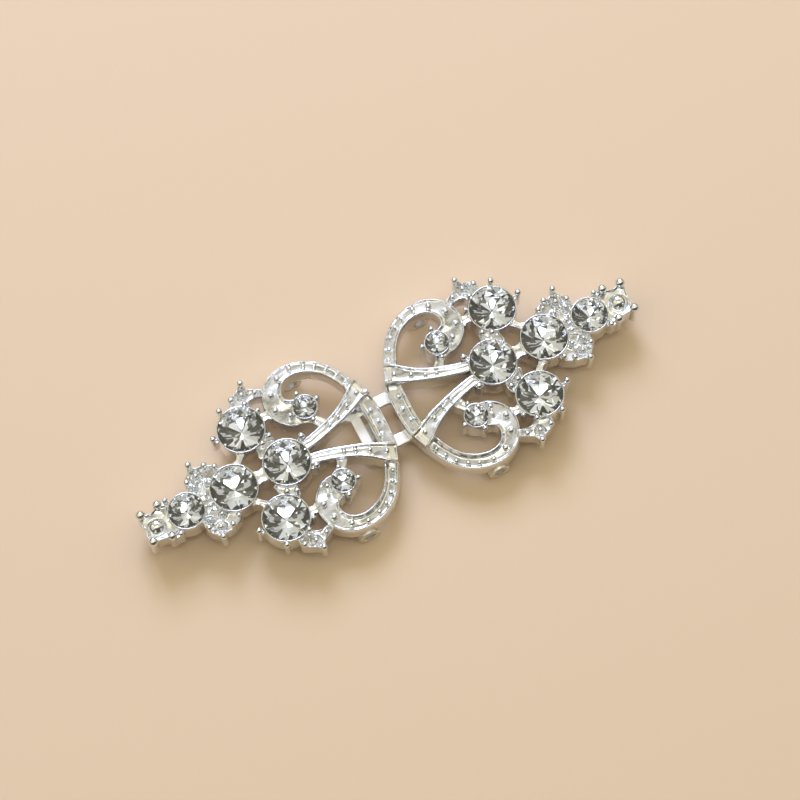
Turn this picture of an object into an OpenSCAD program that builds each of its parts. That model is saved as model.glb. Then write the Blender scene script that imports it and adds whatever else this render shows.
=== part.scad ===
// Cardigan clip of two matching pierced castings, joined by a hook and a flat eye.
// Each half carries seven foil-backed stones and two sewing rings.
// The origin is the middle of the clip, on the surface that it rests on.
// X runs along the clip towards the tip of the eye half, and Z points up.
// A half is drawn from the middle of the clip outwards, and the hook half is
// the same drawing turned half a turn about Z.

/* [Stones] */
// Diameter of the large stones
large_d = 5.9; // [5.8:0.1:6.0]
// Diameter of the stone near each tip
tip_stone_d = 4.5; // [4.4:0.1:4.6]
// Diameter of the small stones in the scrolls
small_d = 2.9; // [2.8:0.1:3.0]
// Gap between a stone and its cup
stone_gap = 0.05; // [0.04:0.01:0.07]
// Thickness of the bezel round a stone
bezel_w = 0.17; // [0.15:0.01:0.2]

/* [Heights above the table] */
// Flat back of the castings
back_z = 2.4; // [2.3:0.05:2.5]
// Top edge of the stone cups
bezel_z = 5.5; // [5.4:0.05:5.6]
// Top of the lip on the inside of a scroll
inner_lip_z = 5.25; // [5.1:0.05:5.4]
// Top of the inner lip on the rim between the ribs
rim_lip_z = 4.6; // [4.5:0.05:4.7]
// Floor of the trough where it crosses the middle of the clip
floor_z = 3.55; // [3.5:0.05:3.65]
// Rise of that floor towards the broad end of a scroll, in degrees
floor_rise = 5.5; // [5:0.25:6]
// Height of the outer lip over the floor beside it
outer_lip_h = 0.2; // [0.15:0.05:0.25]
// Top of the ribs that run from the rim to the first large stone
rib_z = 5.4; // [5.3:0.05:5.45]
// Depth of the trough in a rib
rib_depth = 0.3; // [0.25:0.05:0.35]
// Top of the webs and bars between the cups
web_z = 4.7; // [4.6:0.05:4.8]

/* [Scrolls and ribs] */
// Width of the raised lips
lip_w = 0.34; // [0.3:0.01:0.38]
// Radius of the small pips in the troughs
pip_r = 0.27; // [0.25:0.01:0.3]
// Radius of the larger pips in the broad end of a scroll
lobe_pip_r = 0.36; // [0.32:0.01:0.38]

/* [Sewing rings] */
// Outer diameter of a sewing ring
ring_d = 3; // [2.9:0.05:3]
// Hole of a sewing ring
ring_hole_d = 1.6; // [1.5:0.05:1.6]
// Width of a sewing ring
ring_w = 2.6; // [2.4:0.1:2.8]

/* [Hook and eye] */
// Reach of the eye past the middle of the clip
eye_reach = 4.8; // [4.7:0.05:4.9]
// Width of the eye over both arms
eye_w = 7.4; // [7.2:0.1:7.6]
// Width of each arm of the eye
eye_arm_w = 1.6; // [1.5:0.1:1.7]
// Width of the cross bar that the hook holds
eye_bar_w = 1.4; // [1.3:0.05:1.5]
// Thickness of the eye's strip
eye_t = 0.8; // [0.7:0.05:0.85]
// Gap between the eye and the casting that lies over it
eye_gap = 0.2; // [0.15:0.05:0.25]
// Width of the hook's tongue
hook_w = 2.4; // [2:0.1:2.6]
// Thickness of the hook's tongue
hook_t = 0.65; // [0.6:0.05:0.7]

/* [Hidden] */
$fn = 48;

// Places of the stones in a half: x from the middle of the clip, y to one side
first_x = 14.86;
second_x = 22.39;
tip_x = 29.09;
side_at = [18.21, 6.62];
scroll_at = [9.57, 5.57];
// The cups in the scrolls stand a little higher than the others
scroll_bezel_z = bezel_z + 0.2;
// Height of the culet and of the pocket's floor under a large stone's girdle
seat_depth = 0.6;
culet_depth = 2.45;
pocket_depth = 2.7;
// Everything that is cut open ends above this height
over_z = 8;

// Centre line of a scroll, from under the rib's root round to the small stone
// Columns: x, y, width
SCROLL = [
  [2.05, 3.40, 1.95],
  [2.78, 5.50, 1.88],
  [3.70, 7.55, 1.80],
  [4.95, 9.35, 1.80],
  [6.68, 10.66, 1.84],
  [8.80, 11.27, 1.88],
  [10.75, 11.02, 2.10],
  [12.15, 9.95, 2.42],
  [12.80, 8.35, 2.80],
  [12.45, 6.80, 3.25],
  [11.25, 5.80, 3.55],
  [9.70, 5.52, 3.30]
];

// Centre line of the rim between the two ribs. Columns: x, y, width
RIM = [
  [2.16, -4.10, 2.00],
  [1.92, -2.10, 2.16],
  [1.85, 0.00, 2.20],
  [1.92, 2.10, 2.16],
  [2.16, 4.10, 2.00]
];

// Centre line of a rib, from the rim's outer edge to the first large stone
// Columns: x, y, width
RIB = [
  [1.40, 5.38, 1.90],
  [1.85, 5.12, 2.44],
  [2.75, 4.62, 2.20],
  [4.60, 3.42, 1.76],
  [6.60, 2.50, 1.42],
  [8.60, 1.82, 1.32],
  [10.50, 1.30, 1.26],
  [12.40, 0.98, 1.15]
];

// Small pips in the scroll's trough. Columns: x, y
SCROLL_PIPS = [
  [3.14, 6.79], [3.83, 8.08], [4.70, 9.40], [5.89, 10.39],
  [7.17, 11.04], [8.99, 11.48]
];

// Larger pips in the broad end of the scroll. Columns: x, y
LOBE_PIPS = [[11.03, 10.88], [12.70, 9.17], [13.10, 7.04]];

// Small pips in the rib's trough. Columns: x, y
RIB_PIPS = [[2.76, 4.30], [4.65, 3.29], [6.33, 2.48], [7.72, 1.98]];

// Small pips in the rim between the ribs. Columns: x, y
RIM_PIPS = [[2.04, -1.75], [1.77, 0.00], [2.04, 1.75]];

// Balls on posts. Columns: x, y, radius, height of the ball's centre
BEADS = [
  [9.75, 7.60, 0.42, 5.60],
  [7.65, 6.00, 0.40, 5.40],
  [9.30, 3.60, 0.36, 5.40],
  [11.73, 5.31, 0.38, 5.70],
  [11.70, 2.20, 0.50, 5.75],
  [15.40, 4.10, 0.42, 5.80],
  [16.60, 3.60, 0.42, 5.65],
  [14.40, 10.50, 0.40, 4.90],
  [15.60, 12.28, 0.44, 5.50],
  [17.63, 10.80, 0.44, 5.30],
  [16.30, 9.41, 0.40, 5.65],
  [19.70, 9.95, 0.44, 5.85],
  [22.05, 6.80, 0.44, 6.15],
  [23.30, 3.55, 0.40, 5.60],
  [24.55, 4.37, 0.42, 5.80],
  [26.40, 5.30, 0.44, 5.75],
  [27.47, 3.30, 0.42, 5.40],
  [26.85, 2.45, 0.38, 5.35],
  [26.35, 1.45, 0.32, 5.35],
  [25.15, 2.42, 0.38, 5.35],
  [30.96, 2.45, 0.34, 5.55],
  [32.12, 2.29, 0.46, 5.85],
  [34.75, 2.00, 0.48, 6.05]
];

// Round bosses with a ball on top. Columns: x, y, radius, height of the boss
BOSSES = [[16.06, 10.90, 0.85, 4.95], [26.01, 3.75, 0.90, 4.90]];

// Straight bars between cups, scroll, rib and beads
// Columns: x1, y1, x2, y2, width, top
BARS = [
  [9.40, 4.60, 8.60, 2.20, 1.15, 4.80],
  [9.57, 5.57, 9.75, 7.60, 0.60, 4.80],
  [9.57, 5.57, 7.65, 6.00, 0.60, 4.80],
  [13.40, 7.00, 15.60, 7.00, 1.25, 4.70],
  [17.10, 4.20, 15.85, 2.20, 2.10, 4.95],
  [19.50, 4.20, 20.95, 2.30, 0.95, 5.00],
  [18.21, 6.62, 19.70, 9.95, 0.60, 4.90],
  [18.21, 6.62, 22.05, 6.80, 0.60, 4.90],
  [11.70, 2.20, 12.80, 1.50, 0.80, 5.00],
  [29.09, 0.00, 30.96, 2.45, 0.60, 4.90]
];

// Bars that cross the middle line of a half. Columns: x1, x2, width, top
SPINE = [
  [17.50, 19.80, 1.90, 4.95],
  [25.00, 27.00, 3.40, 4.75],
  [31.10, 32.20, 4.10, 5.00]
];

// Web under the beads beside the far end of the side stone. Columns: x, y
OUTER_WEB = [
  [13.55, 9.95], [14.60, 10.95], [15.60, 12.50], [17.95, 10.90],
  [18.00, 8.80], [16.00, 8.60], [15.75, 9.90], [14.60, 9.85]
];

// Web under the beads between the second stone and the tip stone. Columns: x, y
INNER_WEB = [
  [22.90, 2.60], [23.10, 3.90], [24.90, 4.75], [26.35, 5.45],
  [28.00, 3.30], [27.70, 1.40], [25.10, 1.20]
];

// Block at the tip, with a dish and a dome in it
block_x1 = 31.55;
block_x2 = 35.25;
block_w = 4.2;
block_z = 5.1;
dome_x = 33.36;
dome_r = 0.95;
dish_r = 1.55;
dish_depth = 0.55;

// Middle of a sewing ring
ring_at = [9.4, 11.5];

metal = "silver";
glass = "lightcyan";

// Catmull-Rom curve through the rows a, b, c and d, from b to c as t goes 0 to 1
function blend4(a, b, c, d, t) =
  0.5 * (2 * b + (c - a) * t + (2 * a - 5 * b + 4 * c - d) * t * t
  + (3 * b - a - 3 * c + d) * t * t * t);

// Row i of a table, held at its ends
function row(table, i) = table[max(0, min(len(table) - 1, i))];

// Smooth line through the rows of a table, with n steps from row to row
function smooth(table, n) = concat(
  [for (i = [0:len(table) - 2], k = [0:n - 1])
    blend4(row(table, i - 1), row(table, i), row(table, i + 1), row(table, i + 2), k / n)],
  [table[len(table) - 1]]);

// The same line made longer by e at each end
function stretched(path, e) = let (
    n = len(path) - 1,
    a = (path[0] - path[1]) / norm(path[0] - path[1]),
    b = (path[n] - path[n - 1]) / norm(path[n] - path[n - 1])
  ) concat([path[0] + e * a], path, [path[n] + e * b]);

function flat(v) = [v.x, v.y];

// Unit vector to the left of the line at point i
function left_of(path, i) = let (d = flat(row(path, i + 1)) - flat(row(path, i - 1)))
  [-d.y, d.x] / norm(d);

// The line's left edge moved in by e, and its right edge moved in by e
function left_edge(path, e) =
  [for (i = [0:len(path) - 1]) flat(path[i]) + left_of(path, i) * (path[i].z / 2 - e)];
function right_edge(path, e) =
  [for (i = [0:len(path) - 1]) flat(path[i]) - left_of(path, i) * (path[i].z / 2 - e)];
function reversed(list) = [for (i = [len(list) - 1:-1:0]) list[i]];

// Height of the trough's floor at x
function floor_at(x) = floor_z + x * tan(floor_rise);

// Upright prism of a flat outline between two heights
module prism(z1, z2) {
  translate([0, 0, z1]) linear_extrude(z2 - z1) children();
}

// Outline of a band, moved in by a on its left side and by b on its right side
module band(path, a, b) {
  polygon(concat(left_edge(path, a), reversed(right_edge(path, b))));
}

// Outline of a strip beside a band's left edge, from outside the band to in by e
module left_strip(path, e) {
  polygon(concat(left_edge(path, -1), reversed(left_edge(path, e))));
}

// Rounded square, worked out as |u|^4 + |v|^4 = 1
module rounded_square(x1, x2, w) {
  function root(c) = sign(c) * sqrt(abs(c));
  polygon([for (a = [0:7.5:352.5])
    [(x1 + x2) / 2 + (x2 - x1) / 2 * root(cos(a)), w / 2 * root(sin(a))]]);
}

// Round pip that stands on a trough's floor
module pip(x, y, r, z) {
  translate([x, y, z + r * 0.35]) sphere(r, $fn = 24);
}

// Ball on a slightly thinner post that reaches down to the flat back
module bead(x, y, r, z) {
  translate([x, y, back_z]) cylinder(r = r * 0.84, h = z - back_z, $fn = 24);
  translate([x, y, z]) sphere(r, $fn = 24);
}

// Straight bar with square ends
module bar(x1, y1, x2, y2, w, top) {
  d = [x2 - x1, y2 - y1];
  translate([x1, y1, back_z]) rotate(atan2(d.y, d.x))
    translate([0, -w / 2, 0]) cube([norm(d), w, top - back_z]);
}

// All that lies over the trough's rising floor, moved up by h
module over_floor(h) {
  length = 40;
  intersection() {
    translate([0, 0, floor_z + h]) rotate([0, -floor_rise, 0])
      translate([0, -length / 2, 0]) cube([length, length, over_z]);
    children();
  }
}

// The scroll's trough: a high inner lip, a low outer lip and a floor between them
module scroll() {
  path = smooth(SCROLL, 5);
  cut = stretched(path, 0.2);
  difference() {
    prism(back_z, inner_lip_z) band(path, 0, 0);
    over_floor(0) prism(floor_z, over_z) band(cut, lip_w, lip_w);
    over_floor(outer_lip_h) prism(floor_z, over_z) left_strip(cut, lip_w + 0.2);
  }
}

// The rim between the two ribs, whose outer lip is the low one too
module rim() {
  path = smooth(RIM, 4);
  cut = stretched(path, 0.2);
  difference() {
    prism(back_z, rim_lip_z) band(path, 0, 0);
    over_floor(0) prism(floor_z, over_z) band(cut, lip_w, lip_w);
    over_floor(outer_lip_h) prism(floor_z, over_z) left_strip(cut, lip_w + 0.2);
  }
}

// A rib's trough, which lies over the rim and ends under the first large stone
module rib() {
  path = smooth(RIB, 4);
  cut = [for (p = path) if (p.x < first_x - large_d / 2 - 0.2) p];
  difference() {
    prism(back_z, rib_z) band(path, 0, 0);
    prism(rib_z - rib_depth, over_z)
      band([for (i = [2:len(cut) - 1]) cut[i]], lip_w, lip_w);
  }
}

// Solid cup for a stone of diameter d
module cup(at, d, top) {
  translate([at.x, at.y, back_z])
    cylinder(d = d + 2 * (stone_gap + bezel_w), h = top - back_z, $fn = 64);
}

// Pocket for the stone: a round seat with a cone under it
module pocket(at, d, top) {
  r = d / 2 + stone_gap;
  k = d / large_d;
  translate([at.x, at.y, top - seat_depth]) cylinder(r = r, h = over_z - top, $fn = 64);
  translate([at.x, at.y, top - pocket_depth * k])
    cylinder(r1 = 0.15 * d, r2 = r, h = pocket_depth * k - seat_depth + 0.01, $fn = 64);
}

// Block at the tip
module tip_block() {
  dish_ball = (dish_r * dish_r + dish_depth * dish_depth) / (2 * dish_depth);
  difference() {
    prism(back_z, block_z) rounded_square(block_x1, block_x2, block_w);
    translate([dome_x, 0, block_z - dish_depth + dish_ball]) sphere(dish_ball);
  }
  translate([dome_x, 0, block_z - dish_depth]) sphere(dome_r);
}

// Sewing ring that stands across the back, with its hole along Y
module sewing_ring() {
  translate([ring_at.x, ring_at.y + ring_w / 2, ring_d / 2]) rotate([90, 0, 0])
    cylinder(d = ring_d, h = ring_w);
}

module sewing_hole() {
  translate([ring_at.x, ring_at.y + ring_w, ring_d / 2]) rotate([90, 0, 0])
    cylinder(d = ring_hole_d, h = 2 * ring_w);
}

// What a half has on both sides of its middle line
module side_of_half() {
  scroll();
  rib();
  for (p = SCROLL_PIPS) pip(p.x, p.y, pip_r, floor_at(p.x));
  for (p = LOBE_PIPS) pip(p.x, p.y, lobe_pip_r, floor_at(p.x));
  for (p = RIB_PIPS) pip(p.x, p.y, pip_r, rib_z - rib_depth);
  for (b = BEADS) bead(b[0], b[1], b[2], b[3]);
  for (b = BOSSES) {
    translate([b[0], b[1], back_z]) cylinder(r = b[2], h = b[3] - back_z);
    translate([b[0], b[1], b[3]]) sphere(b[2] / 2, $fn = 24);
  }
  for (b = BARS) bar(b[0], b[1], b[2], b[3], b[4], b[5]);
  prism(back_z, web_z) polygon(OUTER_WEB);
  prism(back_z, web_z - 0.04) polygon(INNER_WEB);
  cup(side_at, large_d, bezel_z);
  cup(scroll_at, small_d, scroll_bezel_z);
  sewing_ring();
}

// One half's casting, without its half of the hook and eye
module casting() {
  difference() {
    union() {
      side_of_half();
      mirror([0, 1, 0]) side_of_half();
      rim();
      for (p = RIM_PIPS) pip(p.x, p.y, pip_r, floor_at(p.x));
      for (b = SPINE) bar(b[0], 0, b[1], 0, b[2], b[3]);
      cup([first_x, 0], large_d, bezel_z);
      cup([second_x, 0], large_d, bezel_z);
      cup([tip_x, 0], tip_stone_d, bezel_z);
      tip_block();
    }
    pocket([first_x, 0], large_d, bezel_z);
    pocket([second_x, 0], large_d, bezel_z);
    pocket([tip_x, 0], tip_stone_d, bezel_z);
    for (s = [-1, 1]) {
      pocket([side_at.x, s * side_at.y], large_d, bezel_z);
      pocket([scroll_at.x, s * scroll_at.y], small_d, scroll_bezel_z);
    }
    sewing_hole();
    mirror([0, 1, 0]) sewing_hole();
  }
}

// Flat eye under the rim of its half, which reaches back under the other half
module eye() {
  root_x = 2.6;
  pad_x = 0.9;
  top = back_z - eye_gap;
  arm_y = eye_w / 2 - eye_arm_w;
  for (s = [-1, 1]) {
    translate([-eye_reach, s > 0 ? arm_y : -eye_w / 2, top - eye_t])
      cube([eye_reach + root_x, eye_arm_w, eye_t]);
    translate([pad_x, s > 0 ? arm_y : -eye_w / 2, top - eye_t / 2])
      cube([root_x - pad_x, eye_arm_w, eye_t / 2 + eye_gap + 0.15]);
  }
  translate([-eye_reach, -eye_w / 2 + 0.1, top - eye_t])
    cube([eye_bar_w, eye_w - 0.2, eye_t]);
}

// Hook under the rim of the other half, whose tongue passes below the eye's bar
module hook() {
  root_x1 = 1.0;
  root_x2 = 2.6;
  tongue_top = back_z - eye_gap - eye_t - 0.3;
  translate([root_x1, -hook_w / 2, tongue_top - hook_t])
    cube([root_x2 - root_x1, hook_w, back_z - tongue_top + hook_t + 0.15]);
  translate([root_x1 + 0.1, -hook_w / 2 + 0.05, tongue_top - hook_t])
    cube([eye_reach - root_x1, hook_w - 0.1, hook_t]);
}

module right_casting() {
  color(metal) union() {
    casting();
    eye();
  }
}

module left_casting() {
  color(metal) rotate(180) union() {
    casting();
    hook();
  }
}

// Chaton of diameter d whose cup has its top edge at the given height:
// a flat table of eight sides, a crown, a thin girdle and a pointed pavilion
module stone(at, d, top) {
  k = d / large_d;
  table_r = 0.30 * d;
  girdle_z = top - 0.22;
  table_z = girdle_z + 0.13 * d;
  low_z = top - 0.5 * k;
  culet_z = top - culet_depth * k;
  table = [for (i = [0:7]) [table_r * cos(45 * i), table_r * sin(45 * i), table_z]];
  girdle_top = [for (i = [0:15]) [d / 2 * cos(22.5 * i), d / 2 * sin(22.5 * i), girdle_z]];
  girdle_low = [for (p = girdle_top) [p.x, p.y, low_z]];
  upper = 8;
  lower = upper + 16;
  culet = lower + 16;
  faces = concat(
    [[for (i = [7:-1:0]) i]],
    [for (i = [0:7]) [i, (i + 1) % 8, upper + (2 * i + 1) % 16]],
    [for (i = [0:7]) [i, upper + (2 * i + 1) % 16, upper + 2 * i]],
    [for (i = [0:7]) [i, upper + 2 * i, upper + (2 * i + 15) % 16]],
    [for (i = [0:15]) [upper + i, upper + (i + 1) % 16, lower + (i + 1) % 16, lower + i]],
    [for (i = [0:15]) [lower + i, lower + (i + 1) % 16, culet]]
  );
  color(glass) translate([at.x, at.y, 0])
    polyhedron(concat(table, girdle_top, girdle_low, [[0, 0, culet_z]]), faces);
}

module first_stone() { stone([first_x, 0], large_d, bezel_z); }
module second_stone() { stone([second_x, 0], large_d, bezel_z); }
module tip_stone() { stone([tip_x, 0], tip_stone_d, bezel_z); }
module side_stone(s) { stone([side_at.x, s * side_at.y], large_d, bezel_z); }
module scroll_stone(s) { stone([scroll_at.x, s * scroll_at.y], small_d, scroll_bezel_z); }

left_casting();
right_casting();
rotate(180) first_stone();  // left_stone_first
rotate(180) second_stone();  // left_stone_second
rotate(180) tip_stone();  // left_stone_tip
rotate(180) side_stone(1);  // left_stone_side_near
rotate(180) side_stone(-1);  // left_stone_side_far
rotate(180) scroll_stone(1);  // left_stone_scroll_near
rotate(180) scroll_stone(-1);  // left_stone_scroll_far
first_stone();  // right_stone_first
second_stone();  // right_stone_second
tip_stone();  // right_stone_tip
side_stone(-1);  // right_stone_side_near
side_stone(1);  // right_stone_side_far
scroll_stone(-1);  // right_stone_scroll_near
scroll_stone(1);  // right_stone_scroll_far
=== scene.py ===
"""A fastened cardigan clip, lying on a pale table: two pierced castings set with stones.

Shapes are worked out in millimetres for the right half, the one with the eye, and for
its far side. The left half is the same drawing turned half a turn about Z.
"""

import bpy
import numpy as np
from mathutils import Matrix, Vector


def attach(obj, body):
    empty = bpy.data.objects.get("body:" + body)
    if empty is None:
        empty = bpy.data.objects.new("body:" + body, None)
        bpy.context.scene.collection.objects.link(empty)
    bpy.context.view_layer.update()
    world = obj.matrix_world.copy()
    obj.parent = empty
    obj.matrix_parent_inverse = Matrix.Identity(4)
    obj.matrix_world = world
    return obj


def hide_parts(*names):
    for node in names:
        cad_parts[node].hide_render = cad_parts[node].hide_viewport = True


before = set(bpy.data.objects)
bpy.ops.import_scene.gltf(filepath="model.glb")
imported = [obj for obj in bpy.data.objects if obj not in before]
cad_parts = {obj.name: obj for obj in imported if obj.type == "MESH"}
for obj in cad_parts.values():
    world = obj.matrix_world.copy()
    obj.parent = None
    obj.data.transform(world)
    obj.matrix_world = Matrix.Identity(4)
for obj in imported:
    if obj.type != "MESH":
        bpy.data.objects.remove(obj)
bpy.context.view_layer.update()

# Scrolls: broad ribbons of the zinc casting, which is plated with silver. Each has a thin
# raised lip along both edges, a floor between them and a row of cast pips. It starts under
# the rib, widens into a dished lobe, and ends at the cup of its small stone.
MM = 0.001
# Height of the castings' flat back
BACK_Z = 2.4
# Columns: x, y, width of the ribbon
SCROLL = [
    [2.05, 3.40, 1.95], [2.78, 5.50, 1.88], [3.70, 7.55, 1.80], [4.95, 9.35, 1.80],
    [6.68, 10.66, 1.84], [8.80, 11.27, 1.88], [10.75, 11.02, 2.10], [12.15, 9.95, 2.42],
    [12.80, 8.35, 2.80], [12.45, 6.80, 3.25], [11.25, 5.80, 3.55], [9.70, 5.52, 3.30],
]
BACK, OUTER, FLOOR, INNER = range(4)
# Columns: edge (1 is the outer one), inset from it, level, drop below the level
SCROLL_SECTION = [
    [1, -0.16, BACK, 0], [1, -0.08, OUTER, 0.62], [1, -0.03, OUTER, 0.30],
    [1, 0.05, OUTER, 0.07], [1, 0.13, OUTER, 0.00], [1, 0.22, OUTER, 0.05],
    [1, 0.32, FLOOR, 0.02], [1, 0.45, FLOOR, 0.07], [0, 0.00, FLOOR, 0.06],
    [-1, 0.56, FLOOR, 0.02], [-1, 0.40, FLOOR, -0.14], [-1, 0.31, INNER, 0.20],
    [-1, 0.25, INNER, 0.04], [-1, 0.16, INNER, 0.00], [-1, 0.07, INNER, 0.05],
    [-1, -0.01, INNER, 0.28], [-1, -0.05, INNER, 0.60], [-1, -0.08, BACK, 0],
]
# Height of the floor in the clip's middle, and its rise for each millimetre towards the tip
FLOOR_Z, FLOOR_RISE = 3.55, 0.096
OUTER_LIP_RISE = 0.13
# The inner lip is lower where a rib covers it. It rises to its full height between these
# two y, and has it everywhere beyond this x.
INNER_LIP_Z, COVERED_LIP_Z = 5.10, 4.70
LIP_RISE_Y = (5.65, 6.35)
COVERED_TO_X = 6
# Where the ribbon is wider than this, its floor lies lower by this share of the surplus
DISHED_FROM_W, LOBE_DISH = 2, 0.16
# Columns: x, y, radius of the pip
SCROLL_PIPS = [
    [3.14, 6.79, 0.34], [3.83, 8.08, 0.34], [4.70, 9.40, 0.34], [5.89, 10.39, 0.35],
    [7.17, 11.04, 0.36], [8.99, 11.48, 0.38], [11.03, 10.88, 0.45], [12.70, 9.17, 0.47],
    [13.10, 7.04, 0.45],
]
# Height of the pips' centres above the floor
SCROLL_PIP_RISE = 0.10
# The far and the near side of a half, and the turn that makes a left half of a right one
SIDES = (np.array([1.0, 1.0, 1.0]), np.array([1.0, -1.0, 1.0]))
HALF_TURN = np.array([-1.0, -1.0, 1.0])
HALVES = (("right", 1.0), ("left", HALF_TURN))


def line_through(rows, steps, closed=False):
    """Smooth line through the rows of a table. Between two rows it is the cubic whose
    slope at each row is half the way from the row before to the row after."""
    rows = np.asarray(rows, float)
    if closed:
        ends = np.vstack([rows[-1:], rows, rows[:2]])
    else:
        ends = np.vstack([2 * rows[0] - rows[1], rows, 2 * rows[-1] - rows[-2]])
    t = np.linspace(0, 1, steps, endpoint=False)[:, None, None]
    a, b, c, d = ends[:-3], ends[1:-2], ends[2:-1], ends[3:]
    line = 0.5 * (2 * b + (c - a) * t + (2 * a - 5 * b + 4 * c - d) * t**2
                  + (3 * b - a - 3 * c + d) * t**3)
    line = line.transpose(1, 0, 2).reshape(-1, rows.shape[1])
    return line if closed else np.vstack([line, rows[-1:]])


def both_edges(line):
    """Left and right edges of a ribbon from its middle line (x, y, width): half the width
    to each side, square to the line."""
    step = np.gradient(line[:, :2], axis=0)
    step /= np.linalg.norm(step, axis=1, keepdims=True)
    aside = np.stack([-step[:, 1], step[:, 0]], 1) * line[:, 2:3] / 2
    return line[:, :2] + aside, line[:, :2] - aside


def ribbon(edges, section, levels, steps=3):
    """Rings of points across a ribbon between its two edges. A section's row is an edge
    (1 left, -1 right, 0 the middle), an inset from it, a level and a drop below the level.
    The first and last rows are the corners of the flat back, and a smooth line goes
    through the rows between them, with so many steps from row to row."""
    left, right = edges
    middle, half = (left + right) / 2, (left - right) / 2
    reach = np.linalg.norm(half, axis=1, keepdims=True)
    edge, inset, level, drop = np.asarray(section, float).T
    side = edge * reach - np.where(edge < 0, -1, 1) * inset
    height = levels[level.astype(int)].T - drop
    ring = np.stack([side, height], 2)
    upper = line_through(ring[:, 1:-1].transpose(1, 0, 2).reshape(len(edge) - 2, -1), steps)
    upper = upper.reshape(len(upper), len(reach), 2).transpose(1, 0, 2)
    ring = np.concatenate([ring[:, :1], upper, ring[:, -1:]], 1)
    plan = middle[:, None] + ring[..., :1] * (half / reach)[:, None]
    return np.concatenate([plan, ring[..., 1:]], 2)


def floor_at(x):
    """Height of the floor, which rises evenly along the clip: its height in the clip's
    middle, and the rise times the distance from there."""
    return FLOOR_Z + FLOOR_RISE * x


def ramp(values, start, end):
    """How far the values are on their way from start to end, held between 0 and 1."""
    return np.clip((values - start) / (end - start), 0, 1)


def ball(centre, radius, around=20, down=14):
    """Rings of a sphere: circles whose radius is the cosine, and height the sine, of an
    angle that runs from below to above."""
    rise = np.linspace(-np.pi / 2, np.pi / 2, down)[1:-1, None]
    turn = np.linspace(0, 2 * np.pi, around, endpoint=False)[None]
    unit = np.stack(np.broadcast_arrays(np.cos(rise) * np.cos(turn),
                                        np.cos(rise) * np.sin(turn), np.sin(rise)), 2)
    return np.asarray(centre, float) + radius * unit


scroll_line = line_through(SCROLL, steps=16)
scroll_floor = floor_at(scroll_line[:, 0])
risen = np.where(scroll_line[:, 0] > COVERED_TO_X, 1, ramp(scroll_line[:, 1], *LIP_RISE_Y))
scroll_levels = np.stack([
    np.full(len(scroll_line), BACK_Z),
    scroll_floor + OUTER_LIP_RISE,
    scroll_floor - LOBE_DISH * np.clip(scroll_line[:, 2] - DISHED_FROM_W, 0, None),
    COVERED_LIP_Z + (INNER_LIP_Z - COVERED_LIP_Z) * risen])
scroll = ribbon(both_edges(scroll_line), SCROLL_SECTION, scroll_levels)
scroll_pips = [ball((x, y, floor_at(x) + SCROLL_PIP_RISE), r) for x, y, r in SCROLL_PIPS]


def plating(name, colour, roughness, swell, grain):
    """Bright plating over a cast surface, from three noises on the piece's coordinates: one
    clouds the polish, one swells the surface slowly, and one roughens it finely. Swell
    and grain are each a size and a depth in millimetres."""
    cloud_size, cloud_detail, bump_detail = 2.2, 3, 1
    # The clouds' noise hardly leaves this range, which is spread over the roughness
    cloud_low, cloud_high = 0.35, 0.7
    material = bpy.data.materials.new(name)
    material.use_nodes = True
    nodes, links = material.node_tree.nodes, material.node_tree.links
    shader = nodes["Principled BSDF"]
    shader.inputs["Base Color"].default_value = (*colour, 1)
    shader.inputs["Metallic"].default_value = 1
    place = nodes.new("ShaderNodeTexCoord")

    def noise(size, detail):
        field = nodes.new("ShaderNodeTexNoise")
        field.inputs["Scale"].default_value = 1 / (size * MM)
        field.inputs["Detail"].default_value = detail
        links.new(place.outputs["Object"], field.inputs["Vector"])
        return field.outputs["Fac"]

    polish = nodes.new("ShaderNodeMapRange")
    polish.inputs["From Min"].default_value = cloud_low
    polish.inputs["From Max"].default_value = cloud_high
    polish.inputs["To Min"].default_value = roughness[0]
    polish.inputs["To Max"].default_value = roughness[1]
    links.new(noise(cloud_size, cloud_detail), polish.inputs["Value"])
    links.new(polish.outputs["Result"], shader.inputs["Roughness"])
    under = None
    for size, depth in (swell, grain):
        bump = nodes.new("ShaderNodeBump")
        bump.inputs["Strength"].default_value = 1
        bump.inputs["Distance"].default_value = depth * MM
        links.new(noise(size, bump_detail), bump.inputs["Height"])
        if under:
            links.new(under, bump.inputs["Normal"])
        under = bump.outputs["Normal"]
    links.new(under, shader.inputs["Normal"])
    return material


# Ribbons, cups and webs keep the mould's swell, and what stands proud is polished smooth
silver = plating("silver_plate", colour=(0.84, 0.855, 0.87), roughness=(0.16, 0.31),
                 swell=(2.4, 0.20), grain=(0.45, 0.012))
polished = plating("polished_silver", colour=(0.82, 0.85, 0.88), roughness=(0.14, 0.22),
                   swell=(3.0, 0.03), grain=(0.5, 0.003))


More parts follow.
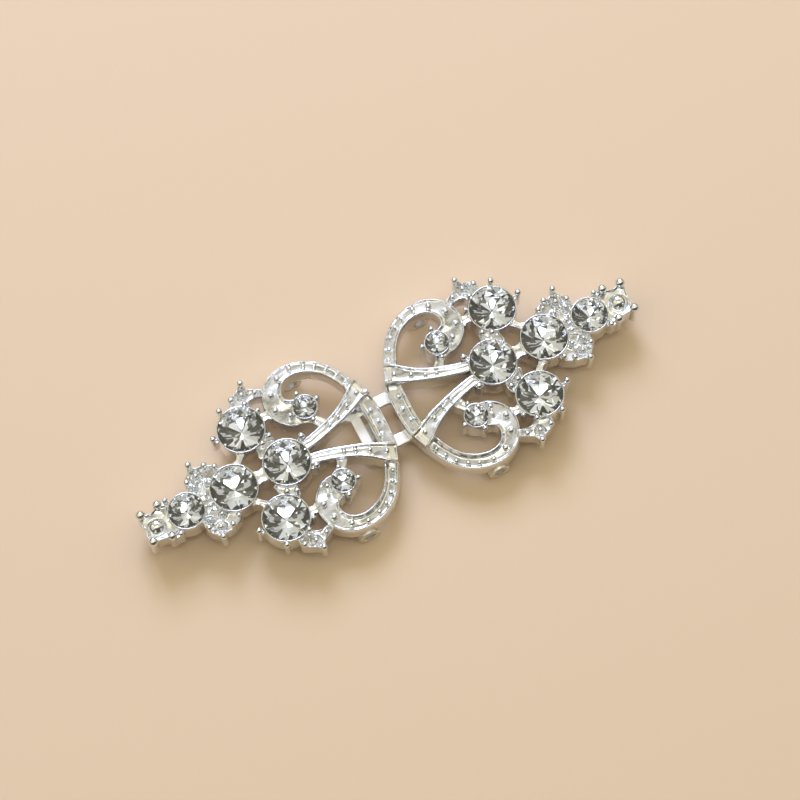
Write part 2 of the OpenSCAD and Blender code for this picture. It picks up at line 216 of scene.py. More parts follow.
def skin(rings, loop=False):
    """Points and faces of a closed surface over rings of points. The ends are closed by
    triangles to their middles, or joined to each other on a loop. The faces are turned
    round if the volume that they enclose, the sum of each corner times the cross product
    of the next two, comes out negative, so that they point outwards."""
    count, around = rings.shape[:2]
    points = rings.reshape(-1, 3)
    index = np.arange(count * around).reshape(count, around)
    here, there = (index, np.roll(index, -1, 0)) if loop else (index[:-1], index[1:])
    walls = np.stack([here, np.roll(here, -1, 1), np.roll(there, -1, 1), there], 2).reshape(-1, 4)
    caps = np.empty((0, 3), int)
    if not loop:
        for ring, way in ((index[0], 1), (index[-1], -1)):
            middle = np.full(around, len(points))
            points = np.vstack([points, points[ring].mean(0)])
            caps = np.vstack([caps, np.stack([np.roll(ring, -1), ring, middle], 1)[:, ::way]])
    p, q, r = points[np.vstack([walls[:, [0, 1, 2]], walls[:, [0, 2, 3]], caps])].transpose(1, 0, 2)
    outward = -1 if np.einsum("ij,ij->", p, np.cross(q, r)) < 0 else 1
    return points, walls[:, ::outward].tolist() + caps[:, ::outward].tolist()


def piece_of(name, skins, materials, slot, nodes, sharp=40, face_material=None):
    """One piece made of closed skins in millimetres, with the faces' edges smooth where
    they meet at less than the sharp angle."""
    points, faces = [], []
    for part_points, part_faces in skins:
        start = sum(len(p) for p in points)
        points.append(part_points)
        faces += [[i + start for i in f] for f in part_faces]
    mesh = bpy.data.meshes.new(name)
    mesh.from_pydata((np.vstack(points) * MM).tolist(), [], faces)
    mesh.polygons.foreach_set("use_smooth", np.full(len(faces), sharp > 0))
    if face_material is not None:
        mesh.polygons.foreach_set("material_index", face_material)
    if sharp:
        mesh.set_sharp_from_angle(angle=np.radians(sharp))
    for material in materials:
        mesh.materials.append(material)
    mesh.update()
    piece = bpy.data.objects.new(name, mesh)
    bpy.context.scene.collection.objects.link(piece)
    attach(piece, "root")
    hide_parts(*nodes)


def cast_in_both_halves(name, rings, materials=(silver,), loop=False, **finish):
    """The right casting's piece and the left casting's, which is turned half a turn."""
    for half, turn in HALVES:
        skins = [skin(r * turn, loop) for r in rings]
        piece_of(f"{half}_{name}", skins, materials, "silver_plate", [f"{half}_casting"], **finish)


cast_in_both_halves("scrolls", [scroll * s for s in SIDES])
cast_in_both_halves("scroll_pips", [p * s for p in scroll_pips for s in SIDES], [polished])

# Rim: the edge of the casting that meets the other half, between the two ribs. It is the
# same ribbon as the scrolls, cast with a lower inner lip and three pips.
# Columns: x, y, width
RIM = [[2.16, -4.10, 2.00], [1.92, -2.10, 2.16], [1.85, 0.00, 2.20], [1.92, 2.10, 2.16],
       [2.16, 4.10, 2.00]]
RIM_OUTER_RISE, RIM_LIP_Z = 0.15, 4.6
# Columns: x, y
RIM_PIPS = [[2.04, -1.75], [1.77, 0.00], [2.04, 1.75]]
RIM_PIP_R, RIM_PIP_RISE = 0.37, 0.14
rim_line = line_through(RIM, steps=14)
rim_floor = floor_at(rim_line[:, 0])
rim_levels = np.stack([np.full(len(rim_line), BACK_Z), rim_floor + RIM_OUTER_RISE, rim_floor,
                       np.full(len(rim_line), RIM_LIP_Z)])
rim = ribbon(both_edges(rim_line), SCROLL_SECTION, rim_levels)
rim_pips = [ball((x, y, floor_at(x) + RIM_PIP_RISE), RIM_PIP_R) for x, y in RIM_PIPS]
cast_in_both_halves("rim", [rim])
cast_in_both_halves("rim_pips", rim_pips, [polished])

# Ribs: two flared ribbons of the casting that cross over the rim and run together to the
# first large stone. Each has a lip along both edges and cast pips in its groove, and its
# broad end is rounded down over the rim's outer edge.
# Columns: x and y of the far edge, x and y of the near edge, top
RIB = [
    [1.96, 6.26, 1.10, 3.98, 4.05], [1.99, 6.26, 1.13, 3.97, 4.40],
    [2.08, 6.24, 1.22, 3.94, 4.72], [2.30, 6.16, 1.46, 3.86, 4.90],
    [2.70, 5.98, 1.86, 3.72, 5.10], [3.30, 5.56, 2.42, 3.50, 5.30],
    [5.03, 4.19, 4.17, 2.65, 5.40], [6.86, 3.16, 6.34, 1.84, 5.40],
    [8.79, 2.45, 8.41, 1.19, 5.40], [10.64, 1.92, 10.30, 0.70, 5.40],
    [12.24, 1.63, 11.78, 0.46, 5.40],
]
# Columns: edge, inset from it, level, drop below the level
RIB_SECTION = [
    [1, -0.22, BACK, 0], [1, -0.18, OUTER, 0.58], [1, -0.12, OUTER, 0.27],
    [1, -0.03, OUTER, 0.06], [1, 0.09, OUTER, 0.00], [1, 0.21, OUTER, 0.06],
    [1, 0.30, FLOOR, -0.06], [1, 0.40, FLOOR, 0.00], [0, 0.00, FLOOR, 0.02],
    [-1, 0.42, FLOOR, 0.00], [-1, 0.31, FLOOR, -0.06], [-1, 0.21, OUTER, 0.06],
    [-1, 0.06, OUTER, 0.00], [-1, -0.10, OUTER, 0.05], [-1, -0.21, OUTER, 0.25],
    [-1, -0.28, OUTER, 0.60], [-1, -0.34, BACK, 0],
]
# Depth of the groove at the broad end and along the narrow part. It opens and deepens
# between these shares of the rib's rows.
GROOVE_BROAD, GROOVE_NARROW = 0.20, 0.42
GROOVE_OPENS, GROOVE_DEEPENS = (0.12, 0.32), (0.2, 0.7)
# Columns: x, y, radius, height of the pip's centre
RIB_PIPS = [[2.76, 4.40, 0.38, 5.02], [4.65, 3.32, 0.36, 5.20], [6.33, 2.50, 0.33, 5.17],
            [7.72, 2.02, 0.31, 5.15]]
rib_line = line_through(RIB, steps=14)
along = np.linspace(0, 1, len(rib_line))
rib_top = rib_line[:, 4]
groove = GROOVE_BROAD + (GROOVE_NARROW - GROOVE_BROAD) * ramp(along, *GROOVE_DEEPENS)
rib_levels = np.stack([np.full(len(rib_line), BACK_Z), rib_top,
                       rib_top - groove * ramp(along, *GROOVE_OPENS)])
rib = ribbon((rib_line[:, :2], rib_line[:, 2:4]), RIB_SECTION, rib_levels)
rib_pips = [ball((x, y, z), r) for x, y, r, z in RIB_PIPS]
cast_in_both_halves("ribs", [rib * s for s in SIDES])
cast_in_both_halves("rib_pips", [p * s for p in rib_pips for s in SIDES], [polished])

# Cups: seven round settings in each casting. Each rises to a thin bezel, and its metal is
# hollowed to a cone for the stone's pavilion, so that the stone can be glued in.
FIRST, SECOND, TIP = (14.86, 0.0), (22.39, 0.0), (29.09, 0.0)
SIDE_STONE, SCROLL_STONE = (18.21, 6.62), (9.57, 5.57)
LARGE_D, TIP_D, SMALL_D = 5.9, 4.5, 2.9
BEZEL_Z, SCROLL_BEZEL_Z = 5.5, 5.7
STONE_GAP = 0.05
# Columns: x, y, diameter of the stone, top of the bezel
SETTINGS = np.array(
    [[*FIRST, LARGE_D, BEZEL_Z], [*SECOND, LARGE_D, BEZEL_Z], [*TIP, TIP_D, BEZEL_Z]]
    + [[x, s * y, d, z] for x, y, d, z in
       ((*SIDE_STONE, LARGE_D, BEZEL_Z), (*SCROLL_STONE, SMALL_D, SCROLL_BEZEL_Z))
       for s in (1, -1)])
# Depths below the bezel's top where the bore turns into the cone and where the cone ends,
# the second for a large stone and in proportion for the others, and the cone's radius at
# its end as a share of the stone's diameter
BORE_DEPTH, CONE_DEPTH, CONE_END = 0.6, 3.02, 0.15
# Columns: distance out from the cup's bore, height
CUP_FOOT = [[0.32, BACK_Z], [0.30, 3.2]]
# Columns: distance out from the cup's bore, depth below the bezel's top
BEZEL = [[0.27, 0.6], [0.23, 0.22], [0.19, 0.08], [0.14, 0.01], [0.08, 0], [0.03, 0.03],
         [0, 0.09], [0, 0.3], [0, BORE_DEPTH]]


def turned(profile, centre, around=96):
    """Rings of a turned shape: each row of the profile (radius, height) is carried round
    an upright axis through the centre."""
    turn = np.linspace(0, 2 * np.pi, around, endpoint=False)
    radius, height = np.asarray(profile, float).T
    return np.stack([centre[0] + radius[:, None] * np.cos(turn),
                     centre[1] + radius[:, None] * np.sin(turn),
                     np.broadcast_to(height[:, None], (len(height), around))], 2)


def cup(x, y, d, top):
    """A turned profile: a wall that leans in a little, a rounded bezel, the bore, and a
    cone that narrows evenly to the bottom of the pocket."""
    bore = d / 2 + STONE_GAP
    rows = [[bore + out, z] for out, z in CUP_FOOT]
    rows += [[bore + out, top - depth] for out, depth in BEZEL]
    return turned(rows + [[CONE_END * d, top - CONE_DEPTH * d / LARGE_D]], (x, y))


cast_in_both_halves("cups", [cup(*row) for row in SETTINGS], sharp=50)

# Balls: beads of the casting on short posts. They stand round the cups like prongs and
# along the edges of the webs, and are polished smooth. Their posts run down to the back.
# Columns: x, y, radius, height of the ball's centre
BEADS = [
    [9.75, 7.60, 0.42, 5.60], [7.65, 6.00, 0.40, 5.40], [9.30, 3.60, 0.36, 5.40],
    [11.73, 5.31, 0.38, 5.70], [11.70, 2.20, 0.50, 5.75], [15.40, 4.10, 0.42, 5.80],
    [16.60, 3.60, 0.42, 5.65], [14.40, 10.50, 0.40, 4.90], [15.60, 12.28, 0.44, 5.50],
    [17.63, 10.80, 0.44, 5.30], [16.30, 9.41, 0.40, 5.65], [15.07, 8.11, 0.32, 5.10],
    [19.70, 9.95, 0.44, 5.85], [22.05, 6.80, 0.44, 6.15], [23.40, 3.62, 0.40, 5.60],
    [24.57, 4.37, 0.42, 5.70], [26.36, 5.28, 0.44, 5.75], [27.45, 3.35, 0.42, 5.40],
    [26.87, 2.42, 0.30, 5.30], [26.03, 0.78, 0.30, 5.40], [25.20, 2.40, 0.30, 5.35],
    [30.96, 2.45, 0.38, 5.50], [32.12, 2.29, 0.62, 5.76], [34.58, 1.95, 0.65, 5.88],
]
# Columns: radius as a share of the ball's, height
POST_FOOT = [[0.86, BACK_Z], [0.82, 3.0]]
# Columns: radius, and depth below the ball's centre, both as shares of the ball's radius
POST_NECK = [[0.76, 1.3], [0.68, 0.92]]
# Where a ball begins and ends, in degrees above its middle, and its rings
BALL_FROM, BALL_TO, BALL_RINGS = -50, 88, 14


def bead(x, y, r, z):
    """A turned profile: a straight post with a neck, and on it a ball, whose radius is the
    cosine, and height the sine, of an angle from below its middle to its top."""
    rise = np.radians(np.linspace(BALL_FROM, BALL_TO, BALL_RINGS))
    post = [[wide * r, height] for wide, height in POST_FOOT]
    neck = [[wide * r, z - below * r] for wide, below in POST_NECK]
    crown = np.stack([r * np.cos(rise), z + r * np.sin(rise)], 1)
    return turned(np.vstack([post, neck, crown]), (x, y), around=24)


cast_in_both_halves("beads", [bead(*row) * s for row in BEADS for s in SIDES], [polished], sharp=60)

# Webs: flat leaves of the casting between the cups, which carry the balls. Each has a
# raised lip along its edge, and a ring stands round some of the balls like a tiny cup.
# Columns of each outline: x, y
OUTER_WEB = [[13.65, 9.60], [13.22, 10.28], [14.05, 10.85], [14.95, 11.35], [15.60, 12.50],
             [16.45, 11.75], [17.95, 10.95], [18.10, 9.60], [17.20, 8.70], [16.20, 8.65],
             [15.70, 9.60], [14.80, 9.85]]
INNER_WEB = [[23.00, 2.60], [23.15, 3.85], [24.70, 4.70], [25.75, 4.85], [26.40, 5.55],
             [26.95, 4.60], [27.80, 3.50], [27.80, 1.60], [26.60, 0.30], [25.40, 0.30],
             [24.80, 1.60]]
SIDE_WEB = [[16.10, 1.80], [15.05, 3.10], [15.00, 4.30], [15.80, 5.10], [17.60, 5.10],
            [18.10, 4.20], [17.60, 3.30], [17.75, 2.00]]
# Columns: x, y, radius, rise of the ring
OUTER_RINGS = [[16.06, 10.90, 0.62, 0.30]]
INNER_RINGS = [[26.05, 3.75, 0.72, 0.38], [26.87, 2.42, 0.50, 0.30], [25.20, 2.40, 0.42, 0.25]]
# Columns: x, y, height of the centre of the ball in the first ring of each web
WEB_BALLS = [[16.06, 10.90, 5.05], [26.05, 3.75, 5.02]]
WEB_BALL_R = 0.40
# Columns: inset from the web's edge, depth below its top
WEB_LIP = np.array([[0, 0.30], [0.02, 0.10], [0.08, 0.01], [0.16, 0], [0.26, 0.08]])
# Insets of the floor's first rows. From the last of them to this share of the way from
# the middle to the edge it has so many rows, and it dips by this much in the middle.
WEB_FLOOR, FLOOR_END, FLOOR_ROWS, FLOOR_DIP = [0.36, 0.46, 0.5], 0.04, 16, 0.12
# Width of a ring's ridge, and depth and width of the hollow inside it, as shares of the
# ridge's rise and of the ring's radius
RIDGE_W, HOLLOW_DEPTH, HOLLOW_W = 0.13, 0.25, 0.7
# How far webs and links stay below the cups' cones
POCKET_GAP = 0.12


def plate(outline, middle, top, floor, rings=(), dish=(0, 0, 1, 0)):
    """Rings of points over a closed outline. They shrink from the outline to the middle,
    and the height falls from a rounded lip to the floor, then dips to the middle with one
    less the share's square. Round each ring of the table (x, y, radius, rise) the height
    gains a ridge, a bell curve of the distance, and inside it loses a shallow hollow, a
    bell curve too. In the dish (x, y, radius, depth) it loses the depth times one less the
    distance's square, to the power 1.5."""
    edge = line_through(outline, steps=8, closed=True)
    middle = np.asarray(middle, float)
    reach = np.linalg.norm(edge - middle, axis=1).mean()
    flat = 1 - np.array(WEB_FLOOR) / reach
    flat = np.concatenate([flat[:-1], np.linspace(flat[-1], FLOOR_END, FLOOR_ROWS)])
    share = np.concatenate([1 - WEB_LIP[:, 0] / reach, flat])
    level = np.concatenate([top - WEB_LIP[:, 1], floor - FLOOR_DIP * (1 - flat**2)])
    plan = middle + share[:, None, None] * (edge - middle)
    height = np.broadcast_to(level[:, None], plan.shape[:2]).copy()
    for x, y, r, rise in rings:
        away = np.hypot(plan[..., 0] - x, plan[..., 1] - y)
        height += rise * np.exp(-(((away - r) / RIDGE_W) ** 2))
        height -= HOLLOW_DEPTH * rise * np.exp(-((away / (HOLLOW_W * r)) ** 2))
    away = np.hypot(plan[..., 0] - dish[0], plan[..., 1] - dish[1]) / dish[2]
    height -= dish[3] * np.clip(1 - away**2, 0, None) ** 1.5
    upper = np.concatenate([plan, height[..., None]], 2)
    wall = np.concatenate([upper[:1, :, :2], np.full((1, len(edge), 1), BACK_Z)], 2)
    return np.concatenate([wall, upper])


def clear_of_pockets(rings):
    """The same rings, but inside a cup no higher than a little under its cone, whose
    height falls evenly from the bore to the middle, so that no metal is in a stone."""
    rings = rings.copy()
    for x, y, d, top in SETTINGS:
        bore = d / 2 + STONE_GAP
        slope = (CONE_DEPTH * d / LARGE_D - BORE_DEPTH) / (bore - CONE_END * d)
        away = np.hypot(rings[..., 0] - x, rings[..., 1] - y)
        cone = top - BORE_DEPTH - POCKET_GAP - (bore - away) * slope
        inside = (away < bore) & (rings[..., 2] > cone)
        rings[..., 2] = np.where(inside, np.maximum(cone, BACK_Z), rings[..., 2])
    return rings


webs = [plate(OUTER_WEB, middle=(16.06, 10.60), top=4.95, floor=4.55, rings=OUTER_RINGS),
        plate(INNER_WEB, middle=(25.90, 3.00), top=4.90, floor=4.55, rings=INNER_RINGS),
        plate(SIDE_WEB, middle=(16.40, 3.60), top=4.95, floor=4.6)]
webs += [ball(centre, WEB_BALL_R) for centre in WEB_BALLS]
cast_in_both_halves("webs", [clear_of_pockets(r * s) for r in webs for s in SIDES], sharp=60)

# Links: short waisted bars of the casting that tie the cups to the scroll, to the rib, to
# the balls and to each other. Each has a rounded top with a shallow hollow down it.
# Columns of each link: x, y, width. The number after them is its top.
LINKS = [
    ([[10.45, 4.30, 0.90], [9.80, 4.08, 1.05], [9.15, 3.72, 1.20], [8.60, 3.10, 1.35],
      [8.25, 2.30, 1.90]], 4.70),
    ([[14.04, 7.05, 1.90], [14.36, 7.05, 1.25], [14.74, 7.05, 1.20], [15.15, 7.05, 1.90]], 4.75),
    ([[19.55, 4.00, 1.40], [19.95, 3.40, 0.92], [20.40, 2.95, 0.92], [20.85, 2.60, 1.40]], 5.0),
    ([[9.63, 7.05, 0.70], [9.69, 7.30, 0.60], [9.75, 7.60, 0.56]], 4.8),
    ([[8.10, 5.88, 0.70], [7.90, 5.94, 0.60], [7.65, 6.00, 0.56]], 4.8),
    ([[19.50, 9.45, 0.70], [19.60, 9.70, 0.62], [19.70, 9.95, 0.56]], 4.9),
    ([[21.25, 6.75, 0.70], [21.60, 6.78, 0.62], [22.05, 6.80, 0.56]], 4.9),
    ([[11.70, 2.20, 0.70], [11.95, 2.05, 0.72], [12.30, 1.85, 0.80]], 5.0),
    ([[30.62, 1.72, 0.90], [31.00, 2.12, 1.00], [31.60, 2.08, 1.05], [32.10, 1.95, 0.90]], 4.95),
]
# The links on the middle line, between the cups there. Columns: x from, x to, width at the
# ends, width in the middle, top
SPINE = [[17.95, 19.33, 2.20, 1.80, 4.95], [25.46, 26.74, 3.20, 2.60, 4.75]]
# Columns: edge, inset from it, level, drop below the level
LINK_SECTION = [
    [1, -0.03, BACK, 0], [1, 0.00, OUTER, 0.40], [1, 0.02, OUTER, 0.12],
    [1, 0.10, OUTER, 0.00], [1, 0.20, OUTER, 0.02], [0, 0.00, OUTER, 0.10],
    [-1, 0.20, OUTER, 0.02], [-1, 0.10, OUTER, 0.00], [-1, 0.02, OUTER, 0.12],
    [-1, 0.00, OUTER, 0.40], [-1, -0.03, BACK, 0],
]


def link(rows, top):
    """A ribbon along the smooth line through the rows, with a rounded top at one height and
    a shallow hollow down its middle."""
    line = line_through(rows, steps=8)
    levels = np.stack([np.full(len(line), BACK_Z), np.full(len(line), top)])
    return ribbon(both_edges(line), LINK_SECTION, levels)


links = [clear_of_pockets(link(*row) * s) for row in LINKS for s in SIDES]
links += [link([[x1, 0, w1], [(x1 + x2) / 2, 0, w2], [x2, 0, w1]], top)
          for x1, x2, w1, w2, top in SPINE]
cast_in_both_halves("links", links, sharp=60)

# Tip block: the square end of the casting, with thin raised sides drawn up to the balls at
# its corners. A polished dome stands in the middle of its smooth dish.
# Columns: x, y
BLOCK = [[30.90, 1.92], [31.42, 0.00], [30.90, -1.92], [32.20, -2.24], [33.40, -1.92],
         [34.60, -2.08], [35.05, -1.87], [34.88, 0.00], [35.05, 1.87], [34.60, 2.08],
         [33.40, 1.92], [32.20, 2.24]]
BLOCK_Z, BLOCK_FLOOR_Z = 5.15, 5.02
DOME_X, DOME_R, DOME_Z = 33.36, 1.20, 4.50
DISH_R, DISH_DEPTH = 1.95, 0.40
block = plate(BLOCK, (DOME_X, 0), BLOCK_Z, BLOCK_FLOOR_Z, dish=(DOME_X, 0, DISH_R, DISH_DEPTH))
dome = ball((DOME_X, 0, DOME_Z), DOME_R, around=48, down=32)
cast_in_both_halves("tip_block", [block, dome], [polished], sharp=60)

# Sewing rings: short plated tubes, soldered across the back under each scroll's outer edge.
# The clip rests on them, and the thread goes through them along Y. Their outside is a darker,
# warmer copy of the plating, painted shade for the shadow they lie in under the casting, and
# the hole keeps the pale satin plating.
RING_AT, RING_R, RING_HOLE_R, RING_W = (9.4, 11.5), 1.5, 0.8, 2.6
RING_EDGE, RING_SIDES = 0.12, 64
# Columns: radius, distance along the tube from its middle
RING_PROFILE = [
    [RING_R - RING_EDGE, -RING_W / 2], [RING_R, -RING_W / 2 + RING_EDGE],
    [RING_R, RING_W / 2 - RING_EDGE], [RING_R - RING_EDGE, RING_W / 2],
    [RING_HOLE_R + RING_EDGE, RING_W / 2], [RING_HOLE_R, RING_W / 2 - RING_EDGE],
    [RING_HOLE_R, -RING_W / 2 + RING_EDGE], [RING_HOLE_R + RING_EDGE, -RING_W / 2],
]
# The profile's rows whose faces, each up to the next row, are the hole's
HOLE_ROWS = slice(4, 7)
# Painted shade: the rings' outside gets a darker, warmer copy of the plating for the shadow under
# the casting
shaded_ring_plating = plating("painted_shade_silver", colour=(0.80, 0.77, 0.71), roughness=(0.30, 0.45),
               swell=(3.0, 0.03), grain=(0.5, 0.006))
satin = plating("satin_silver", colour=(0.94, 0.94, 0.94), roughness=(0.38, 0.48),
                swell=(3.0, 0.03), grain=(0.5, 0.004))
SHADED_COPY, SATIN = range(2)
upright = turned(RING_PROFILE, (0, 0), RING_SIDES)
# The turned tube's axis is laid from Z over to Y
sewing_ring = upright[..., [0, 2, 1]] + np.array([*RING_AT, RING_R])
# Faces of the rings: the painted-shade copy outside, the satin plating in the hole
ring_shade_and_satin = np.full((len(SIDES), len(RING_PROFILE), RING_SIDES), SHADED_COPY)
ring_shade_and_satin[:, HOLE_ROWS] = SATIN
cast_in_both_halves("sewing_rings", [sewing_ring * s for s in SIDES], [shaded_ring_plating, satin], loop=True,
                    sharp=30, face_material=ring_shade_and_satin.ravel())

# Eye: a flat bent strip of plated metal, soldered by two pads under the right half's rim.
# It reaches back under the left half, where the hook's tongue passes below its cross bar.
EYE_TOP, EYE_T, EYE_ARM_W, EYE_ARM_Y = 2.2, 0.8, 1.6, 2.9
# Columns: x, y, width
EYE_LINE = [[2.60, 2.90, 1.6], [-3.60, 2.90, 1.6], [-4.02, 2.70, 1.5], [-4.10, 2.20, 1.4],
            [-4.10, -2.20, 1.4], [-4.02, -2.70, 1.5], [-3.60, -2.90, 1.6], [2.60, -2.90, 1.6]]
EYE_PAD_X, EYE_PAD_SINK = (0.90, 2.55), 0.15
LOW, HIGH = range(2)
# Columns: edge, inset from it, level (the strip's low or its high face), drop below it
STRIP_SECTION = [
    [1, 0.10, LOW, 0.00], [1, 0.02, LOW, -0.04], [1, 0.00, LOW, -0.12],
    [1, 0.00, HIGH, 0.12], [1, 0.03, HIGH, 0.03], [1, 0.12, HIGH, 0.00],
    [0, 0.00, HIGH, 0.00], [-1, 0.12, HIGH, 0.00], [-1, 0.03, HIGH, 0.03],
    [-1, 0.00, HIGH, 0.12], [-1, 0.00, LOW, -0.12], [-1, 0.02, LOW, -0.04],
    [-1, 0.10, LOW, 0.00],
]


def strip(rows, low, high):
    """A ribbon along the rows with softened edges, flat below and above at two heights."""
    line = np.asarray(rows, float)
    levels = np.stack([np.full(len(line), low), np.full(len(line), high)])
    return ribbon(both_edges(line), STRIP_SECTION, levels)


eye = [strip(EYE_LINE, EYE_TOP - EYE_T, EYE_TOP)]
eye += [strip([[x, y, EYE_ARM_W] for x in EYE_PAD_X], EYE_TOP - EYE_T / 2, BACK_Z + EYE_PAD_SINK)
        for y in (EYE_ARM_Y, -EYE_ARM_Y)]
piece_of("right_eye", [skin(r) for r in eye], [satin], "silver_plate", ["right_casting"])

# Hook: a strip of plated metal, soldered under the left half's rim. It bends down and
# outwards into the tongue that holds the eye.
HOOK_W = 2.3
# Columns: x, height of the strip's middle, thickness
HOOK_LINE = [[1.75, 2.50, 1.1], [1.75, 1.60, 0.85], [1.95, 1.02, 0.68], [2.50, 0.78, 0.62],
             [3.50, 0.76, 0.62], [4.30, 0.78, 0.60], [4.75, 0.84, 0.50]]
# The strip is drawn flat, with its width upwards, and laid over to the side
hook = strip(line_through(HOOK_LINE, steps=6), -HOOK_W / 2, HOOK_W / 2)[..., [0, 2, 1]]
piece_of("left_hook", [skin(hook * HALF_TURN)], [satin], "silver_plate", ["left_casting"])

# Stones: machine-cut glass chatons, clear above and with a silver foil on the pavilion.
# Each has a flat table, two rows of crown facets, a thin girdle and a faceted point, and
# is glued into its cup.
GLASS_INDEX = 1.56
# The noise's changes per millimetre, and the most roughness that it gives
HAZE_PER_MM, HAZE = 0.6, 0.03
# Heights as shares of the diameter, the first the girdle's depth below the bezel, and the
# rings of corners as shares of the radius
SEAT_DEPTH, CROWN_RISE, GIRDLE, PAVILION = 0.013, 0.13, 0.015, 0.48
TABLE_SHARE, KITE_SHARE, MAIN_SHARE = 0.55, 0.80, 0.60
# Number of kites in the crown, and of main facets in the pavilion
MAINS = 8
# Turn of each stone in its cup, in degrees, in the order of the settings
STONE_TURNS = {"right": [8, 27, 3, 15, 38, 20, 5], "left": [31, 12, 40, 2, 24, 9, 33]}
# The nodes' names in the same order. The half turn changes far for near.
NODE_ENDS = {"right": ["first", "second", "tip", "side_far", "side_near", "scroll_far",
                       "scroll_near"],
             "left": ["first", "second", "tip", "side_near", "side_far", "scroll_near",
                      "scroll_far"]}


def chaton(x, y, d, top, turn):
    """Points, faces and face kinds of a chaton. Eight kites lie in planes through the
    table's corners and the girdle, and eight mains in planes through the girdle and the
    point. The middle rings' heights come from those planes, so every facet is flat."""
    girdle_z = top - SEAT_DEPTH * d
    table_z = girdle_z + CROWN_RISE * d
    low_z = girdle_z - GIRDLE * d
    point_z = low_z - PAVILION * d
    bend = np.cos(np.pi / MAINS)

    def ring(count, share, z, offset=0.0):
        a = np.radians(turn) + (np.arange(count) + offset) * 2 * np.pi / count
        return np.stack([x + share * d / 2 * np.cos(a), y + share * d / 2 * np.sin(a),
                         np.full(count, z)], 1)

    kite_z = girdle_z + (table_z - girdle_z) * (1 - KITE_SHARE * bend) / (1 - TABLE_SHARE)
    main_z = low_z + (point_z - low_z) * (1 - MAIN_SHARE * bend)
    rings = [ring(MAINS, TABLE_SHARE, table_z), ring(MAINS, KITE_SHARE, kite_z, 0.5),
             ring(2 * MAINS, 1, girdle_z), ring(2 * MAINS, 1, low_z),
             ring(MAINS, MAIN_SHARE, main_z, 0.5), [[x, y, point_z]]]
    table, kite, girdle, low, main, point = np.cumsum([0] + [len(r) for r in rings[:-1]]).tolist()
    crown, pavilion = [[table + i for i in range(MAINS)]], []
    for i in range(MAINS):
        before, after = (i - 1) % MAINS, (i + 1) % MAINS
        even, odd, next_even = 2 * i, 2 * i + 1, 2 * after
        crown += [[table + i, kite + i, table + after],
                  [table + i, kite + before, girdle + even, kite + i],
                  [kite + i, girdle + even, girdle + odd],
                  [kite + i, girdle + odd, girdle + next_even],
                  [girdle + even, low + even, low + odd, girdle + odd],
                  [girdle + odd, low + odd, low + next_even, girdle + next_even]]
        pavilion += [[low + even, main + i, low + odd], [low + odd, main + i, low + next_even],
                     [low + even, main + before, point, main + i]]
    return np.vstack(rings), crown + pavilion, [0] * len(crown) + [1] * len(pavilion)


def clear_glass(name, index):
    """Clear glass, whose polish is very slightly clouded: the roughness follows a slow
    noise on the piece's coordinates."""
    material = bpy.data.materials.new(name)
    material.use_nodes = True
    nodes, links = material.node_tree.nodes, material.node_tree.links
    shader = nodes["Principled BSDF"]
    shader.inputs["Base Color"].default_value = (1, 1, 1, 1)
    shader.inputs["Transmission Weight"].default_value = 1
    shader.inputs["IOR"].default_value = index
    place = nodes.new("ShaderNodeTexCoord")
    haze = nodes.new("ShaderNodeTexNoise")
    haze.inputs["Scale"].default_value = HAZE_PER_MM / MM
    wear = nodes.new("ShaderNodeMapRange")
    wear.inputs["To Min"].default_value = 0.0
    wear.inputs["To Max"].default_value = HAZE
    links.new(place.outputs["Object"], haze.inputs["Vector"])
    links.new(haze.outputs["Fac"], wear.inputs["Value"])
    links.new(wear.outputs["Result"], shader.inputs["Roughness"])
    return material


glass = clear_glass("crystal", GLASS_INDEX)
foil = plating("foil", colour=(0.88, 0.92, 1.0), roughness=(0.01, 0.05), swell=(2.5, 0.01),
               grain=(0.9, 0.002))
for half, turn in HALVES:
    for row, angle, end in zip(SETTINGS, STONE_TURNS[half], NODE_ENDS[half]):
        points, faces, kinds = chaton(*row, angle)
        node = f"{half}_stone_{end}"
        piece_of(f"{node}_cut", [(points * turn, faces)], [glass, foil], "crystal", [node],
                 sharp=0, face_material=kinds)

# Table: a plain flat sheet of pale peach paper, under the clip's sewing rings. It reaches
# so far to each side that the camera never sees its edge.
TABLE_COLOUR, TABLE_ROUGHNESS = (0.825, 0.65, 0.475), 0.75
TABLE_REACH = 1.6
corners = TABLE_REACH * np.array([[-1, -1, 0], [1, -1, 0], [1, 1, 0], [-1, 1, 0]])
table_mesh = bpy.data.meshes.new("table")
table_mesh.from_pydata(corners.tolist(), [], [[0, 1, 2, 3]])
table = bpy.data.objects.new("table", table_mesh)
bpy.context.scene.collection.objects.link(table)
paper = bpy.data.materials.new("table_paper")
paper.use_nodes = True
paper_shader = paper.node_tree.nodes["Principled BSDF"]
paper_shader.inputs["Base Color"].default_value = (*TABLE_COLOUR, 1)
paper_shader.inputs["Roughness"].default_value = TABLE_ROUGHNESS
table_mesh.materials.append(paper)

# Light: soft boxes in a dim warm room. The key is a cool bright one behind the clip, a
# small one hangs overhead, and four large dim ones show in the metal, with dark gaps
# between them.
WARM, WARMER, COOL = (1.0, 0.95, 0.79), (1.0, 0.90, 0.64), (0.95, 1.06, 1.46)
# Columns: degrees round from the near side, degrees up, degrees wide, degrees high,
# brightness, distance, colour
SOFT_BOXES = {
    "key": (167, 42, 27, 27, 6.6, 0.75, COOL),
    "overhead": (-10, 84, 20, 16, 2.8, 0.9, WARM),
    "far_bounce": (180, 55, 90, 40, 0.46, 1.0, WARM),
    "top_bounce": (-10, 80, 64, 30, 0.80, 1.0, WARM),
    "left_wall": (262, 42, 52, 40, 0.64, 1.0, WARMER),
    "right_wall": (98, 42, 52, 40, 0.64, 1.0, WARMER),
}
# Brightness of the room, and of its darkest part low down on the near side. The middle of
# that part is in degrees round and up, and it fades between so many degrees from there.
ROOM, ROOM_NEAR = 0.20, 0.10
DARK_AT, DARK_FADE = (-15, 15), (70, 50)


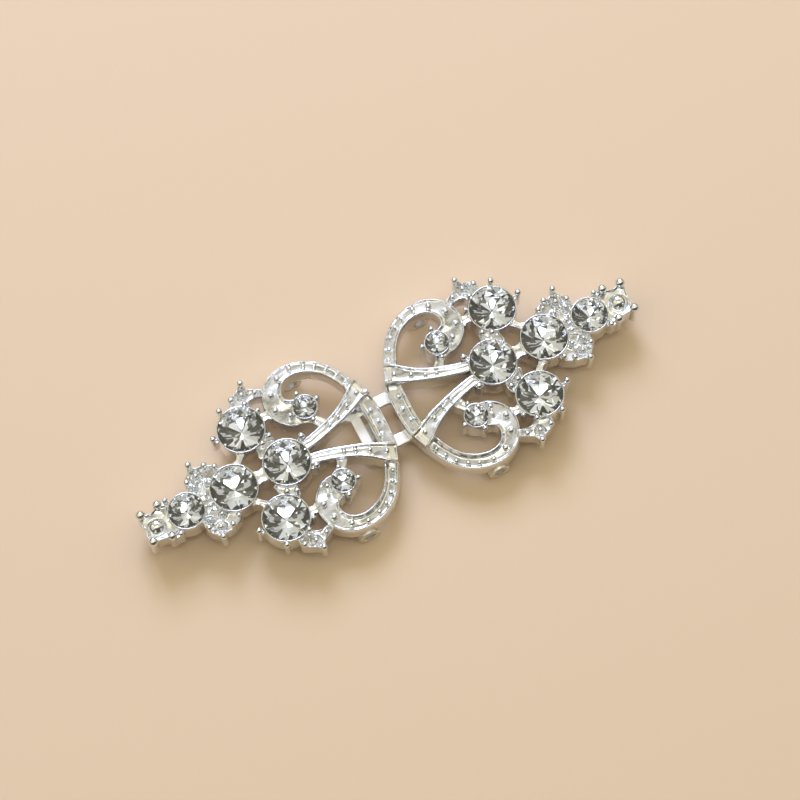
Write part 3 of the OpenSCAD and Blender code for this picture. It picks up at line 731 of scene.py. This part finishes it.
def towards(round_deg, up_deg):
    """Direction from the clip, so many degrees round from the near side towards the right
    and so many up: the sine and cosine of the first, times the cosine of the second, and
    the second's sine."""
    a, e = np.radians([round_deg, up_deg])
    return Vector((np.sin(a) * np.cos(e), -np.cos(a) * np.cos(e), np.sin(e)))


for name, (round_deg, up_deg, wide, high, bright, distance, colour) in SOFT_BOXES.items():
    light = bpy.data.lights.new(name, "AREA")
    light.shape = "RECTANGLE"
    light.size, light.size_y = 2 * distance * np.tan(np.radians([wide / 2, high / 2]))
    # A flat matt light gives out pi watts for each unit of brightness and area
    light.energy = bright * np.pi * light.size * light.size_y
    light.color = colour
    box = bpy.data.objects.new(name, light)
    away = towards(round_deg, up_deg)
    box.location = away * distance
    box.rotation_mode = "QUATERNION"
    box.rotation_quaternion = away.to_track_quat("Z", "Y")
    box.visible_camera = False
    bpy.context.scene.collection.objects.link(box)

world = bpy.data.worlds.new("studio")
world.use_nodes = True
room, room_links = world.node_tree.nodes, world.node_tree.links
way = room.new("ShaderNodeTexCoord")
nearness = room.new("ShaderNodeVectorMath")
nearness.operation = "DOT_PRODUCT"
nearness.inputs[1].default_value = towards(*DARK_AT)
shade = room.new("ShaderNodeMapRange")
shade.interpolation_type = "SMOOTHSTEP"
shade.inputs["From Min"].default_value = np.cos(np.radians(DARK_FADE[0]))
shade.inputs["From Max"].default_value = np.cos(np.radians(DARK_FADE[1]))
shade.inputs["To Min"].default_value = ROOM
shade.inputs["To Max"].default_value = ROOM_NEAR
room_links.new(way.outputs["Generated"], nearness.inputs[0])
room_links.new(nearness.outputs["Value"], shade.inputs["Value"])
room_links.new(shade.outputs["Result"], room["Background"].inputs["Strength"])
room["Background"].inputs["Color"].default_value = (*WARMER, 1)
bpy.context.scene.world = world
bpy.context.scene.view_settings.view_transform = "Standard"

# Camera: it looks down on the clip from the near left. Its place, turn and lens come from
# the photograph's perspective.
CAMERA_ROUND, CAMERA_UP, CAMERA_ROLL = -24.943, 71.334, -2.137
CAMERA_FAR, CAMERA_AIM = 0.321945, (0.001772, 0.000800, 0.0055)
SENSOR_W, LENS, CLIP_START = 36, 112.5, 0.005
back = towards(CAMERA_ROUND, CAMERA_UP)
across = Vector((0, 0, 1)).cross(back).normalized()
up = back.cross(across)
roll = np.radians(CAMERA_ROLL)
right = across * np.cos(roll) + up * np.sin(roll)
up = up * np.cos(roll) - across * np.sin(roll)
camera_data = bpy.data.cameras.new("camera")
camera_data.sensor_width = SENSOR_W
camera_data.lens = LENS
camera_data.clip_start = CLIP_START
camera = bpy.data.objects.new("camera", camera_data)
place = Matrix((right, up, back)).transposed().to_4x4()
place.translation = Vector(CAMERA_AIM) + back * CAMERA_FAR
camera.matrix_world = place
bpy.context.scene.collection.objects.link(camera)
bpy.context.scene.camera = camera
